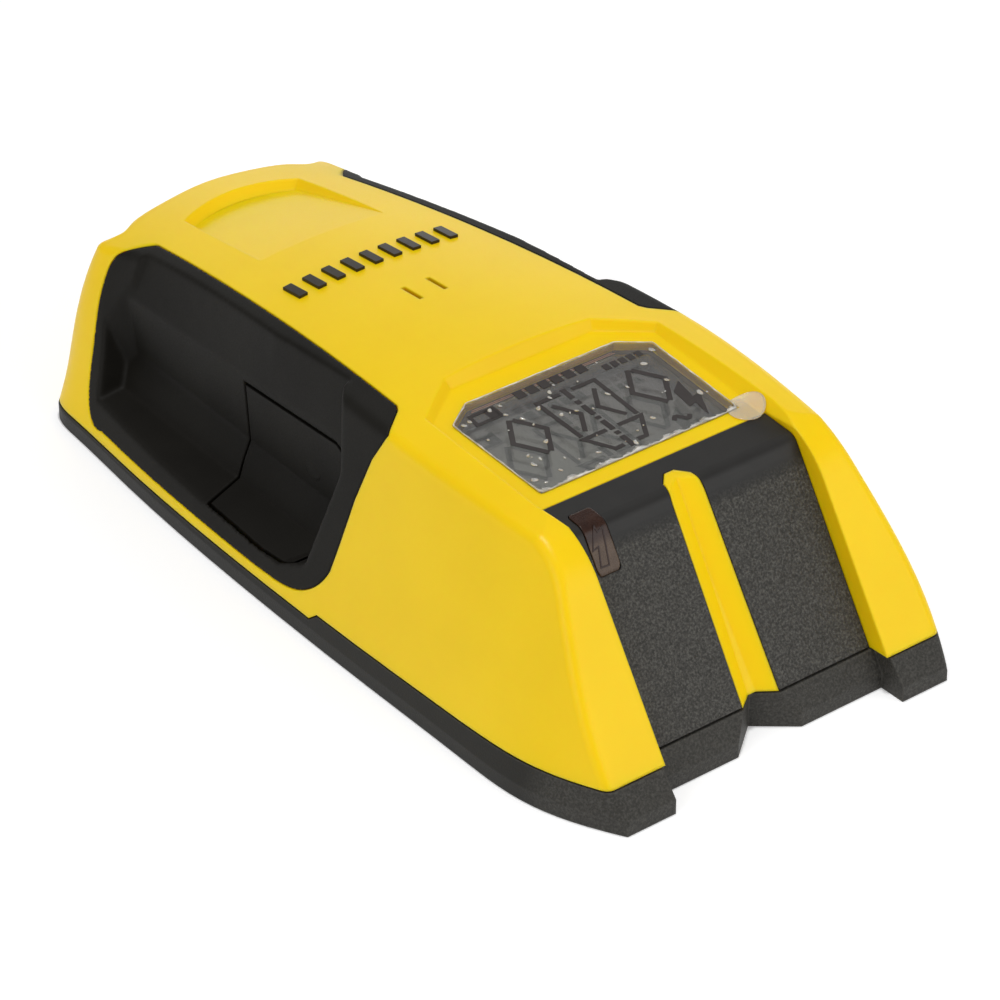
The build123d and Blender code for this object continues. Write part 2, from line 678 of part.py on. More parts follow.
def build():
    outer = outer_form()
    hollow = cavity(WALL)
    plain, cored, button = grip_solids(outer)
    return {
        "top_shell": top_shell(outer, hollow),
        "base_shell": base_shell(outer, hollow),
        "nose_panel": nose_panel(),
        "right_grip": plain,
        "left_grip": mirrored(cored),
        "activation_button": mirrored(button),
        "switch_stem": mirrored(switch_stem()),
        "tactile_switch": mirrored(tactile_switch()),
        "switch_board": mirrored(switch_board()),
        "lcd_window": window_solid(0.08, -1.3, 0.1),
        "window_film": window_film(),
        "lcd_frame": lcd_frame(),
        "lcd_glass": lcd_glass(),
        "zebra_strips": zebra_strips(),
        "main_board": main_board(),
        "microcontroller": microcontroller(),
        "board_components": board_components(),
        "buzzer": buzzer(),
        "ac_lens": ac_window(1.6, 0.1, 0),
        "ac_led": ac_led(),
        "led_leads": led_leads(),
        "badge_bars": badge_bars(outer),
        "sensor_board": sensor_board(),
        "sensor_electrodes": sensor_electrodes(),
        "board_header": board_header(),
        "battery": battery(),
        "battery_terminals": battery_terminals(),
        "battery_tray": battery_tray(),
        "battery_door": battery_door(outer),
        "contact_board": contact_board(),
        "contact_snaps": contact_snaps(),
        "contact_pins": contact_pins(),
        "board_screws": board_screws(),
        "case_screws": case_screws(),
    }


def main():
    os.makedirs("parts", exist_ok=True)
    for name, shape in build().items():
        export_step(shape, f"parts/{name}.step")


main()
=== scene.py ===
import bpy
import bmesh
import json
import math
import random
from mathutils import Euler, Matrix, Vector
from mathutils.bvhtree import BVHTree

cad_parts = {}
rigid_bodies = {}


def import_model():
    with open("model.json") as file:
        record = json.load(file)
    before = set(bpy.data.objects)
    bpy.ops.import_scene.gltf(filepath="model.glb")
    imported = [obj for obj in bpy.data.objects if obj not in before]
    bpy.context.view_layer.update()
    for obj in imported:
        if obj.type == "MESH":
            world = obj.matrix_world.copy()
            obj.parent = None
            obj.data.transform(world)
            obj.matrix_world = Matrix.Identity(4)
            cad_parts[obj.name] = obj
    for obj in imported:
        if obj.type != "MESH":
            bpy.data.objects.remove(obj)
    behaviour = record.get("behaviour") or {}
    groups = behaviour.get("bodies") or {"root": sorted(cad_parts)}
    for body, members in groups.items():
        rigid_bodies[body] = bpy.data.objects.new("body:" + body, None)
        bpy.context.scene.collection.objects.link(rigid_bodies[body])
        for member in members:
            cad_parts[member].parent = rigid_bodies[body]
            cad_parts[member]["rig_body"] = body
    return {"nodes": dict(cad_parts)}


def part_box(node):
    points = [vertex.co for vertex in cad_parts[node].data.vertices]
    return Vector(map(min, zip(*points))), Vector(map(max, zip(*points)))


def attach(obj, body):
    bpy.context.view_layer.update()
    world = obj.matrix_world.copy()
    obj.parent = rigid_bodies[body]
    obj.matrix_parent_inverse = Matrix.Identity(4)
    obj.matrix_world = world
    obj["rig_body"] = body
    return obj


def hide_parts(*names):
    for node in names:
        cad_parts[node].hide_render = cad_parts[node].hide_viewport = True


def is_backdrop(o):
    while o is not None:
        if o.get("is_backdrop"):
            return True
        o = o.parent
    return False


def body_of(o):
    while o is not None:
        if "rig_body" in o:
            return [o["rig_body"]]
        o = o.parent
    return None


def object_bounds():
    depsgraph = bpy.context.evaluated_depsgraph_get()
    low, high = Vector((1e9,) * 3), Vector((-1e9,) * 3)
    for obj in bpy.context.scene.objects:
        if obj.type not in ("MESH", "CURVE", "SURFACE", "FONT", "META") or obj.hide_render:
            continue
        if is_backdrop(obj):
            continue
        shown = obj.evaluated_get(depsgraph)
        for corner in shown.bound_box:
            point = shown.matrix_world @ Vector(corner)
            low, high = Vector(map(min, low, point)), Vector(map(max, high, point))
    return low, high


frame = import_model()
CAD_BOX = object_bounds()
NODES = frame["nodes"]
MM = 0.001
METAL_GRAIN, GRAIN_STRETCH = 2500, (1, 12, 1)


# ---------------------------------------------------------------- node helpers
class Mat:
    """Small wrapper round a node material."""

    def __init__(self, name):
        self.mat = bpy.data.materials.new(name)
        self.mat.use_nodes = True
        self.tree = self.mat.node_tree
        self.tree.nodes.clear()
        self.out = self.add("ShaderNodeOutputMaterial")
        self.bsdf = self.add("ShaderNodeBsdfPrincipled")
        self.link(self.bsdf.outputs[0], self.out.inputs["Surface"])
        self.coord = self.add("ShaderNodeTexCoord").outputs["Object"]

    def add(self, kind, **props):
        node = self.tree.nodes.new(kind)
        for key, value in props.items():
            setattr(node, key, value)
        return node

    def link(self, a, b):
        self.tree.links.new(a, b)

    def set(self, **values):
        for key, value in values.items():
            self.bsdf.inputs[key.replace("_", " ")].default_value = value

    def noise(self, scale, detail=2.0, rough=0.5, vector=None):
        node = self.add("ShaderNodeTexNoise")
        node.inputs["Scale"].default_value = scale
        node.inputs["Detail"].default_value = detail
        node.inputs["Roughness"].default_value = rough
        self.link(vector or self.coord, node.inputs["Vector"])
        return node.outputs["Fac"]

    def cells(self, scale):
        node = self.add("ShaderNodeTexVoronoi", feature="SMOOTH_F1")
        node.inputs["Scale"].default_value = scale
        self.link(self.coord, node.inputs["Vector"])
        return node.outputs["Distance"]

    def ramp(self, fac, stops):
        node = self.add("ShaderNodeValToRGB")
        ramp = node.color_ramp
        while len(ramp.elements) < len(stops):
            ramp.elements.new(0.5)
        for element, (pos, colour) in zip(ramp.elements, stops):
            element.position = pos
            element.color = (*colour, 1) if len(colour) == 3 else colour
        self.link(fac, node.inputs["Fac"])
        return node.outputs["Color"]

    def span(self, value, a, b, c, d):
        """Maps a..b to c..d."""
        node = self.add("ShaderNodeMapRange")
        for index, number in enumerate((a, b, c, d), 1):
            node.inputs[index].default_value = number
        self.link(value, node.inputs[0])
        return node.outputs[0]

    def math(self, op, a, b=None):
        node = self.add("ShaderNodeMath", operation=op)
        for index, item in enumerate((a, b)):
            if item is None:
                continue
            if isinstance(item, (int, float)):
                node.inputs[index].default_value = item
            else:
                self.link(item, node.inputs[index])
        return node.outputs[0]

    def mix(self, fac, a, b):
        node = self.add("ShaderNodeMix", data_type="RGBA")
        for index, item in ((0, fac), (6, a), (7, b)):
            if isinstance(item, (int, float)):
                node.inputs[index].default_value = item
            elif isinstance(item, tuple):
                node.inputs[index].default_value = (*item, 1)
            else:
                self.link(item, node.inputs[index])
        return node.outputs[2]

    def axis(self, name):
        node = self.add("ShaderNodeSeparateXYZ")
        self.link(self.coord, node.inputs[0])
        return node.outputs[name]

    def soft_edges(self, radius, samples=6):
        node = self.add("ShaderNodeBevel", samples=samples)
        node.inputs["Radius"].default_value = radius
        return node.outputs[0]

    def edge_mask(self, radius, amount):
        """0 on open faces, up to the amount where the surface turns within the radius."""
        dot = self.add("ShaderNodeVectorMath", operation="DOT_PRODUCT")
        self.link(self.soft_edges(radius, 4), dot.inputs[0])
        self.link(self.add("ShaderNodeNewGeometry").outputs["Normal"], dot.inputs[1])
        return self.span(dot.outputs["Value"], 0.98, 0.80, 0.0, amount)

    def bump(self, height, strength, distance, normal=None):
        node = self.add("ShaderNodeBump")
        node.inputs["Strength"].default_value = strength
        node.inputs["Distance"].default_value = distance
        self.link(height, node.inputs["Height"])
        if normal is not None:
            self.link(normal, node.inputs["Normal"])
        return node.outputs[0]

    def colour(self, output):
        self.link(output, self.bsdf.inputs["Base Color"])

    def rough(self, output):
        self.link(output, self.bsdf.inputs["Roughness"])

    def normal(self, output):
        self.link(output, self.bsdf.inputs["Normal"])


def plastic(name, dark, light, rough, grain, depth, edge=0.0003, specular=0.5):
    """Moulded plastic: blotchy colour, fine grain in bump and roughness, softened edges."""
    m = Mat(name)
    m.colour(m.ramp(m.noise(60, 3), [(0.35, dark), (0.65, light)]))
    fine = m.noise(grain, 3, 0.6)
    m.rough(m.span(fine, 0.3, 0.7, rough - 0.06, rough + 0.06))
    m.normal(m.bump(fine, 0.5, depth, m.soft_edges(edge)))
    m.set(Specular_IOR_Level=specular)
    return m


def metal(name, colour, rough):
    """Bare metal with a fine grain drawn out along X."""
    m = Mat(name)
    m.set(Metallic=1.0)
    m.colour(m.ramp(m.noise(300, 3), [(0.3, tuple(c * 0.85 for c in colour)), (0.7, colour)]))
    brushed = m.add("ShaderNodeMapping")
    brushed.inputs["Scale"].default_value = GRAIN_STRETCH
    m.link(m.coord, brushed.inputs[0])
    fine = m.noise(METAL_GRAIN, 3, vector=brushed.outputs[0])
    m.rough(m.span(fine, 0.3, 0.7, rough - 0.08, rough + 0.08))
    m.normal(m.bump(fine, 0.2, 0.00002, m.soft_edges(0.0001)))
    return m


# ---------------------------------------------------------------- materials
YELLOW = plastic("case_yellow", (0.88, 0.59, 0.0015), (0.905, 0.61, 0.002),
                 0.36, 3400, 0.000024, 0.00065, 0.22)
YELLOW.set(Subsurface_Weight=0.35, Subsurface_Radius=(1.0, 0.55, 0.08), Subsurface_Scale=0.0022)
BADGE = plastic("badge_black", (0.014, 0.010, 0.005), (0.022, 0.016, 0.008),
                0.36, 4000, 0.00001, 0.00015, 0.3)
RUBBER = plastic("grip_rubber", (0.0058, 0.0050, 0.0036), (0.0088, 0.0079, 0.0060),
                 0.58, 4200, 0.00002, 0.0004, 0.15)
FRAME_GREY = plastic("frame_grey", (0.040, 0.025, 0.013), (0.062, 0.040, 0.021), 0.5, 2600, 0.00002)
TRAY = plastic("tray_black", (0.02, 0.02, 0.02), (0.03, 0.03, 0.03), 0.5, 2600, 0.00002)
CHIP = plastic("chip_black", (0.012, 0.012, 0.012), (0.02, 0.02, 0.02), 0.6, 6000, 0.00002)
TAN = plastic("component_tan", (0.30, 0.20, 0.11), (0.45, 0.33, 0.20), 0.45, 3000, 0.00002)
ZEBRA = plastic("zebra_rubber", (0.015, 0.015, 0.015), (0.05, 0.05, 0.05), 0.7, 3000, 0.00002)
BOARD = plastic("board_green", (0.008, 0.06, 0.022), (0.015, 0.10, 0.04), 0.32, 1800, 0.00002)
BATTERY = plastic("battery_jacket", (0.02, 0.022, 0.026), (0.05, 0.052, 0.06), 0.3, 1500, 0.00001)
LED = plastic("led_red", (0.45, 0.01, 0.008), (0.6, 0.02, 0.012), 0.15, 1500, 0.000005)
STEEL = metal("switch_steel", (0.62, 0.62, 0.63), 0.35)
SCREW = metal("screw_steel", (0.16, 0.16, 0.17), 0.42)
BRASS = metal("pin_brass", (0.80, 0.60, 0.25), 0.3)
COPPER = metal("copper_foil", (0.80, 0.42, 0.26), 0.35)
NICKEL = metal("plated_steel", (0.72, 0.71, 0.68), 0.22)


PADS_FROM_TO = (-0.0640, -0.0700)


def charcoal_material():
    """Case lower half: fine grain on the sides, coarse leather grain on the nose pads painted paler by
    painted light, and a painted highlight along the edges.
    """
    m = Mat("case_charcoal")
    pads = m.span(m.axis("Y"), *PADS_FROM_TO, 0.0, 1.0)
    fine = m.noise(3400, 3, 0.6)
    leather = m.noise(2300, 3, 0.65)
    side = m.ramp(fine, [(0.35, (0.0110, 0.0105, 0.0088)), (0.65, (0.0175, 0.0166, 0.0138))])
    # Nose pads: real coarse grain, with painted light making it paler where the nose faces the front.
    pad_grain_painted_paler = m.ramp(leather, [(0.36, (0.023, 0.022, 0.0185)), (0.50, (0.036, 0.034, 0.029)),
                           (0.66, (0.060, 0.057, 0.050))])
    # Painted highlight: paler colour where the surface turns at an edge.
    rim = m.math("MULTIPLY", m.edge_mask(0.0006, 0.55), m.span(fine, 0.3, 0.6, 0.3, 1.0))
    m.colour(m.mix(rim, m.mix(pads, side, pad_grain_painted_paler), (0.105, 0.10, 0.088)))
    m.rough(m.span(fine, 0.3, 0.7, 0.52, 0.64))
    height = m.math("ADD", m.math("MULTIPLY", fine, 0.35), m.math("MULTIPLY", leather, pads))
    m.normal(m.bump(height, 0.9, 0.00016, m.soft_edges(0.0004)))
    m.set(Specular_IOR_Level=0.28)
    return m


def panel_material():
    """Leather grain on the slope, painted paler where it faces the front light, smooth on the flat above it,
    with a soft dark band on the bend as a painted dark reflection.
    """
    m = Mat("panel_black")
    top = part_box("nose_panel")[1][2]
    height = m.axis("Z")
    foot, brow = top - 0.0052, top - 0.0026
    slope = m.span(height, foot, top - 0.0030, 1.0, 0.0)
    # Painted dark reflection: a soft dark band across the bend between flat and slope.
    bend = m.math("MULTIPLY", m.span(height, top - 0.0044, brow, 1.0, 0.0),
                  m.span(height, foot, brow, 0.0, 1.0))
    leather = m.noise(2500, 3, 0.65)
    grain = m.math("MULTIPLY", m.math("ADD", m.math("MULTIPLY", m.cells(1900), 0.7), leather), slope)
    flat = m.ramp(m.noise(160, 3), [(0.3, (0.0115, 0.0108, 0.0098)), (0.7, (0.0155, 0.0146, 0.0132))])
    # Painted light: the slope's grain is painted paler where it faces the front light.
    slope_grain_painted_paler = m.ramp(leather, [(0.36, (0.018, 0.017, 0.0145)), (0.50, (0.040, 0.038, 0.033)),
                              (0.66, (0.088, 0.085, 0.075))])
    m.colour(m.mix(bend, m.mix(slope, flat, slope_grain_painted_paler), (0.005, 0.005, 0.0045)))
    fine = m.noise(5000, 2)
    m.rough(m.math("ADD", m.span(fine, 0.3, 0.7, 0.42, 0.50), m.math("MULTIPLY", slope, 0.10)))
    coarse = m.bump(grain, 1.0, 0.00020, m.soft_edges(0.0003))
    m.normal(m.bump(fine, 0.3, 0.00001, coarse))
    m.set(Specular_IOR_Level=0.34)
    return m


CHARCOAL = charcoal_material()
PANEL = panel_material()


CLEAR_IOR = 1.45


def clear_material(name, tint, haze, gloss, cloud=(0.85, 0.84, 0.81), blotches=420):
    """Clear sheet: light passes straight through, a little is scattered, low angles mirror."""
    m = Mat(name)
    through = m.add("ShaderNodeBsdfTransparent")
    through.inputs["Color"].default_value = (*tint, 1)
    blotch = m.noise(blotches, 2)
    cloudy = m.add("ShaderNodeMixShader")
    m.link(m.span(blotch, 0.35, 0.65, haze * 0.6, haze * 1.4), cloudy.inputs[0])
    m.link(through.outputs[0], cloudy.inputs[1])
    m.link(m.bsdf.outputs[0], cloudy.inputs[2])
    mirror = m.add("ShaderNodeBsdfGlossy")
    m.link(m.span(m.noise(900, 2), 0.3, 0.7, 0.04, 0.07), mirror.inputs["Roughness"])
    fresnel = m.add("ShaderNodeFresnel")
    fresnel.inputs["IOR"].default_value = CLEAR_IOR
    surface = m.add("ShaderNodeMixShader")
    m.link(m.math("MULTIPLY", fresnel.outputs[0], gloss), surface.inputs[0])
    m.link(cloudy.outputs[0], surface.inputs[1])
    m.link(mirror.outputs[0], surface.inputs[2])
    m.link(surface.outputs[0], m.out.inputs["Surface"])
    m.colour(m.ramp(blotch, [(0.3, tuple(c * 0.93 for c in cloud)), (0.7, cloud)]))
    m.set(Roughness=0.35)
    return m


WINDOW = clear_material("window_clear", (0.975, 0.975, 0.97), 0.003, 0.35)
FILM = clear_material("film_clear", (0.99, 0.99, 0.985), 0.010, 0.3)
TAB = clear_material("film_tab", (0.99, 0.98, 0.95), 0.26, 0.5, (1.0, 0.96, 0.86), 60)
# Painted highlight: whitish hazy bead along the film's cut edge.
PAINTED_RIM_HIGHLIGHT = clear_material("film_rim_painted_highlight", (0.98, 0.98, 0.98), 0.50, 0.7, (0.95, 0.93, 0.88))
BUBBLE = clear_material("film_bubble", (0.98, 0.98, 0.98), 0.36, 0.7)


def lens_material():
    """Smoked brown-red lens: near black on top, paler brown where it runs down the slope."""
    m = Mat("lens_red")
    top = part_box("ac_lens")[1][2]
    slope = m.span(m.axis("Z"), top - 0.0034, top - 0.0022, 1.0, 0.0)
    blotch = m.noise(700, 3)
    upper = m.ramp(blotch, [(0.3, (0.020, 0.007, 0.004)), (0.7, (0.034, 0.013, 0.007))])
    lower = m.ramp(blotch, [(0.3, (0.060, 0.036, 0.021)), (0.7, (0.085, 0.054, 0.034))])
    m.colour(m.mix(slope, upper, lower))
    m.rough(m.span(m.noise(3000, 2), 0.3, 0.7, 0.24, 0.32))
    m.normal(m.bump(blotch, 0.3, 0.00001, m.soft_edges(0.0003)))
    m.set(Specular_IOR_Level=0.3)
    return m


LENS = lens_material()
BOLT = plastic("lens_bolt", (0.018, 0.006, 0.004), (0.026, 0.010, 0.006),
               0.35, 3000, 0.000005, 0.00005, 0.3)


def lcd_material():
    """Grey-green cell with painted shade: darker and browner toward its rear right corner, where the bezel
    shades it.
    """
    m = Mat("lcd_glass")
    lo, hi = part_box("lcd_glass")
    across = m.span(m.axis("X"), lo[0], hi[0], 0.0, 1.0)
    along = m.span(m.axis("Y"), lo[1], hi[1], 0.0, 1.0)
    # Painted shade: the cell is painted darker toward the rear right, where the bezel and case shade it.
    shade = m.math("ADD", m.math("MULTIPLY", across, 0.45), m.math("MULTIPLY", along, 0.55))
    shade = m.math("ADD", shade, m.span(m.noise(90, 3), 0.3, 0.7, -0.06, 0.06))
    m.colour(m.ramp(shade, [(0.08, (0.285, 0.295, 0.255)), (0.45, (0.225, 0.224, 0.196)),
                            (0.95, (0.135, 0.118, 0.120))]))
    fine = m.noise(5000, 2)
    m.rough(m.span(fine, 0.3, 0.7, 0.30, 0.36))
    m.normal(m.bump(fine, 0.2, 0.000004))
    m.set(Specular_IOR_Level=0.35)
    return m


LCD = lcd_material()

BY_NODE = {
    "top_shell": YELLOW, "base_shell": CHARCOAL, "battery_door": CHARCOAL, "nose_panel": PANEL,
    "left_grip": RUBBER, "right_grip": RUBBER, "activation_button": RUBBER, "badge_bars": BADGE,
    "lcd_window": WINDOW, "window_film": FILM, "lcd_frame": FRAME_GREY, "lcd_glass": LCD,
    "zebra_strips": ZEBRA, "main_board": BOARD, "sensor_board": BOARD, "switch_board": BOARD,
    "contact_board": BOARD,
    "microcontroller": CHIP, "board_components": TAN, "buzzer": CHIP, "ac_lens": LENS, "ac_led": LED,
    "led_leads": NICKEL, "board_header": BRASS, "contact_pins": BRASS, "sensor_electrodes": COPPER,
    "battery": BATTERY, "battery_terminals": NICKEL, "contact_snaps": NICKEL, "battery_tray": TRAY,
    "tactile_switch": STEEL, "switch_stem": TRAY, "case_screws": SCREW, "board_screws": SCREW,
}
for node_name, wrapper in BY_NODE.items():
    node = NODES[node_name]
    node.data.materials.clear()
    node.data.materials.append(wrapper.mat)


# ---------------------------------------------------------------- geometry helpers
def link_mesh(name, mesh, wrapper, smooth=True):
    """New object with its material, riding on the casing."""
    obj = bpy.data.objects.new(name, mesh)
    bpy.context.scene.collection.objects.link(obj)
    mesh.materials.clear()
    mesh.materials.append(wrapper.mat)
    for polygon in mesh.polygons:
        polygon.use_smooth = smooth
    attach(obj, "casing")
    return obj


def to_mesh(name, bm):
    """Mesh from a bmesh, with its normals facing out."""
    bmesh.ops.recalc_face_normals(bm, faces=bm.faces)
    mesh = bpy.data.meshes.new(name)
    bm.to_mesh(mesh)
    bm.free()
    return mesh


# The planes of the window and of the nose slope, in millimetres, as the case is built.
FACE_SLOPE = math.atan(0.078)
FACE_ORIGIN = Vector((0, -47.0, 38.3))
NOSE_SLOPE = math.radians(57.0)
NOSE_ORIGIN = Vector((0, -54.4, 37.72))


def on_plane(origin, slope, heading, x, run, level):
    """Point near a plane that rises rearwards.

    run goes up the plane (heading 1) or down it (heading -1), and level stands off it, in mm.
    """
    along = Vector((0, math.cos(slope), math.sin(slope))) * heading
    out = Vector((0, -math.sin(slope), math.cos(slope)))
    return (origin + along * run + out * level + Vector((x, 0, 0))) * MM


def on_face(x, run, level):
    """Point on the window plane: run is measured rearwards from the front edge of the recess, in mm."""
    return on_plane(FACE_ORIGIN, FACE_SLOPE, 1, x, run, level)


def on_nose(x, run, level):
    """Point on the nose slope: run is measured down the slope from the bend, in mm."""
    return on_plane(NOSE_ORIGIN, NOSE_SLOPE, -1, x, run, level)


def bridge(bm, first, second):
    """Quads between two closed rings of the same size."""
    count = len(first)
    for k in range(count):
        j = (k + 1) % count
        bm.faces.new((first[k], first[j], second[j], second[k]))


SHARPEST_MITRE = 0.35
ARC_STEPS = 6


def stroke_sides(points, width, closed):
    """Mitred left and right sides of a polyline."""
    left, right = [], []
    count = len(points)
    for i, here in enumerate(points):
        here = Vector(here)
        runs = []
        if i or closed:
            runs.append(here - Vector(points[i - 1]))
        if i < count - 1 or closed:
            runs.append(Vector(points[(i + 1) % count]) - here)
        runs = [run.normalized() for run in runs]
        normals = [Vector((-run.y, run.x)) for run in runs]
        mitre = sum(normals, Vector((0, 0))).normalized()
        reach = width / 2 / max(SHARPEST_MITRE, mitre.dot(normals[0]))
        left.append(here + mitre * reach)
        right.append(here - mitre * reach)
    return left, right


def add_stroke(bm, points, width, low, high, place, closed=False):
    """Raised flat band along a polyline."""
    left, right = stroke_sides(points, width, closed)
    rings = []
    for a, b in zip(left, right):
        rings.append([bm.verts.new(place(q.x, q.y, level)) for q, level in
                      ((a, low), (a, high), (b, high), (b, low))])
    pairs = list(zip(rings, rings[1:])) + ([(rings[-1], rings[0])] if closed else [])
    for first, second in pairs:
        bridge(bm, first, second)
    if not closed:
        bm.faces.new(rings[0])
        bm.faces.new(rings[-1][::-1])


def add_plate(bm, points, low, high, place):
    """Raised flat polygon."""
    bottom = [bm.verts.new(place(x, y, low)) for x, y in points]
    top = [bm.verts.new(place(x, y, high)) for x, y in points]
    bm.faces.new(bottom[::-1])
    bm.faces.new(top)
    bridge(bm, bottom, top)


def rounded_outline(points, radius):
    """Closed polygon with its corners rounded."""
    out = []
    count = len(points)
    for i, here in enumerate(points):
        here = Vector(here)
        a = (Vector(points[i - 1]) - here).normalized()
        b = (Vector(points[(i + 1) % count]) - here).normalized()
        half = a.angle(b) / 2
        reach = radius / math.tan(half)
        centre = here + (a + b).normalized() * (radius / math.sin(half))
        start, end = here + a * reach - centre, here + b * reach - centre
        turn = start.angle_signed(end)
        for k in range(ARC_STEPS + 1):
            spot = start.copy()
            spot.rotate(Matrix.Rotation(-turn * k / ARC_STEPS, 2))
            out.append(centre + spot)
    return out


def mirror_x(points):
    """Points mirrored across the middle of the case."""
    return [(-x, y) for x, y in points]


# ---------------------------------------------------------------- soft grips
SOFT_VOXEL, SOFT_ROUNDS = 0.00027, 34
GRID_TILT = Euler((0.55, 0.35, 0.6))
SEARCH_REACH = 0.003
BLEND_REACH = 0.0011
CASE_EDGE, BUTTON_EDGE = ("top_shell", 0.0004), ("activation_button", 0.0008)


def surface_tree(node):
    """Search tree over a CAD part's surface."""
    mesh = NODES[node].data
    return BVHTree.FromPolygons([v.co for v in mesh.vertices], [p.vertices for p in mesh.polygons])


def soft_copy(name, node, crisp):
    """Moulded version of a CAD grip: small even quads, hollows and ridges rounded.

    crisp lists the neighbours along which its edges stay sharp, with the width kept sharp beside each.
    """
    tilt = GRID_TILT.to_matrix().to_4x4()
    bm = bmesh.new()
    bm.from_mesh(NODES[node].data)
    bmesh.ops.remove_doubles(bm, verts=bm.verts, dist=2e-6)
    bm.transform(tilt)
    rough_mesh = bpy.data.meshes.new(name + "_rough")
    bm.to_mesh(rough_mesh)
    bm.free()
    rough = bpy.data.objects.new(name + "_rough", rough_mesh)
    bpy.context.scene.collection.objects.link(rough)
    remesh = rough.modifiers.new("even", "REMESH")
    remesh.mode = "VOXEL"
    remesh.voxel_size = SOFT_VOXEL
    even = rough.evaluated_get(bpy.context.evaluated_depsgraph_get())
    mesh = bpy.data.meshes.new_from_object(even)
    mesh.name = name
    mesh.transform(tilt.inverted())
    bpy.data.objects.remove(rough)
    own = surface_tree(node)
    others = [(surface_tree(other), margin) for other, margin in crisp]
    obj = link_mesh(name, mesh, RUBBER)
    group = obj.vertex_groups.new(name="free")
    for vertex in mesh.vertices:
        vertex.co = own.find_nearest(vertex.co)[0]
        near = min((tree.find_nearest(vertex.co, SEARCH_REACH)[3] or SEARCH_REACH) - margin
                   for tree, margin in others)
        share = max(0.0, min(1.0, near / BLEND_REACH))
        if share > 0:
            group.add([vertex.index], share, "REPLACE")
    relax = obj.modifiers.new("relax", "SMOOTH")
    relax.factor = 0.5
    relax.iterations = SOFT_ROUNDS
    relax.vertex_group = "free"
    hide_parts(node)


# ---------------------------------------------------------------- display
INK = plastic("print_ink", (0.030, 0.024, 0.023), (0.042, 0.036, 0.034),
              0.45, 3000, 0.000005, 0.00005, 0.3)
# Painted shadow: dark copies of the printed marks on the LCD cell, where the marks' shadows fall from the
# light overhead.
PAINTED_MARK_SHADOW = plastic("painted_mark_shadow", (0.068, 0.074, 0.058), (0.085, 0.092, 0.074),
                0.35, 3000, 0.000005, 0.00005, 0.3)

# Heights off the window plane and places on it, in millimetres.
PRINT_LEVELS = (0.27, 0.30)
# The painted shadows of the marks lie on the LCD cell, about 5 mm under the print.
CELL_LEVELS = (-4.99, -4.96)
FILM_LEVEL, FILM_THICKNESS = 0.26, 0.04
BORDER_TOP, BORDER_FOOT = -1.22, -2.3
TRACE_LEVELS, TRACE_WIDTH = (-1.21, -1.17), 0.14

# Right-hand corners of three outlines of the window's shape: front, widest and rear.
FILM_CORNERS = [(20.65, 3.15), (21.05, 25.6), (15.6, 29.35)]
BORDER_OUTER = [(20.2, 3.6), (20.6, 25.4), (15.4, 28.9)]
BORDER_INNER = [(19.2, 4.6), (19.6, 24.9), (15.1, 27.9)]

# Runs of the dashed middle line, from rear to front.
DASHES = ((23.4, 20.5), (19.6, 18.6), (18.0, 15.1), (14.4, 13.6), (13.0, 10.1), (9.5, 8.6), (8.0, 4.9))


def window_outline(corners, radius):
    """Outline of the window's shape, mirrored from its right-hand corners."""
    front, widest, rear = mirror_x(corners)
    return rounded_outline([front, *corners, rear, widest], radius)


def display_marks(name, levels, material):
    """Display segments: plain diamonds, bracket, chevrons, dashes and pictograms, no lettering."""
    bm = bmesh.new()
    low, high = levels

    def line(points, width=0.95, closed=False):
        add_stroke(bm, points, width, low, high, on_face, closed)

    def block(x, run, width, depth):
        add_plate(bm, [(x, run), (x + width, run), (x + width, run + depth), (x, run + depth)],
                  low, high, on_face)

    for side in (-1, 1):
        centre = 12.4 * side
        line([(centre - 0.25, 21.5), (centre - 3.6, 16.1), (centre - 0.25, 11.0)])
        line([(centre + 0.3, 21.3), (centre + 3.5, 16.4), (centre + 0.3, 11.2)])
        for points in ([(-1.3, 22.6), (-6.0, 22.6), (-5.8, 11.3)], [(-4.4, 20.7), (-1.8, 16.4), (-4.3, 12.2)],
                       [(-1.2, 10.6), (-6.0, 10.6), (-3.2, 5.8), (-1.4, 5.9)]):
            line(points if side < 0 else mirror_x(points), 0.85)
    for start, end in DASHES:
        line([(-0.15, start), (-0.15, end)], 1.0)
    line([(-17.6, 23.3), (-12.6, 23.3), (-12.6, 25.8), (-17.3, 25.8)], 0.7, True)
    block(-14.6, 23.4, 1.9, 2.3)
    bolt = [(14.6, 12.6), (17.2, 14.6), (16.4, 9.9), (18.1, 10.2), (15.3, 4.4), (15.7, 8.3), (14.1, 7.9)]
    add_plate(bm, bolt[::-1], low, high, on_face)
    line([(9.6 + 0.35 * k, 6.4 + 0.75 * math.sin(k * 0.7)) for k in range(10)], 0.8)
    for k in range(6):
        block(-7.6 + 2.55 * k, 25.2, 1.9, 2.0)
    for k in range(5):
        block(9.4 + 1.7 * k, 23.5, 1.2, 1.5)
    obj = link_mesh(name, to_mesh(name, bm), material, smooth=False)


def resample(points, step):
    """Closed polygon split into short, even runs."""
    out = []
    for i, here in enumerate(points):
        here, there = Vector(here), Vector(points[(i + 1) % len(points)])
        count = max(1, round((there - here).length / step))
        out += [here.lerp(there, k / count) for k in range(count)]
    return out


FILM_CORNER_RADIUS = 0.8


def film_sheet():
    """Flat protective film."""
    bm = bmesh.new()
    outline = window_outline(FILM_CORNERS, FILM_CORNER_RADIUS)
    add_plate(bm, outline, FILM_LEVEL - FILM_THICKNESS, FILM_LEVEL, on_face)
    obj = link_mesh("film_sheet", to_mesh("film_sheet", bm), FILM, smooth=False)
    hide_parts("window_film")


TAB_CORNER, TAB_CENTRE, TAB_RADIUS = Vector((20.6, 3.15)), Vector((21.3, 2.4)), 3.2
TAB_ARC = (math.radians(166.4), math.radians(460.8))
TAB_SPOKES, TAB_RINGS = 40, 8
TAB_LEVEL, TAB_CURL = FILM_LEVEL + 0.03, 0.11
TAB_THICKNESS = 0.00012


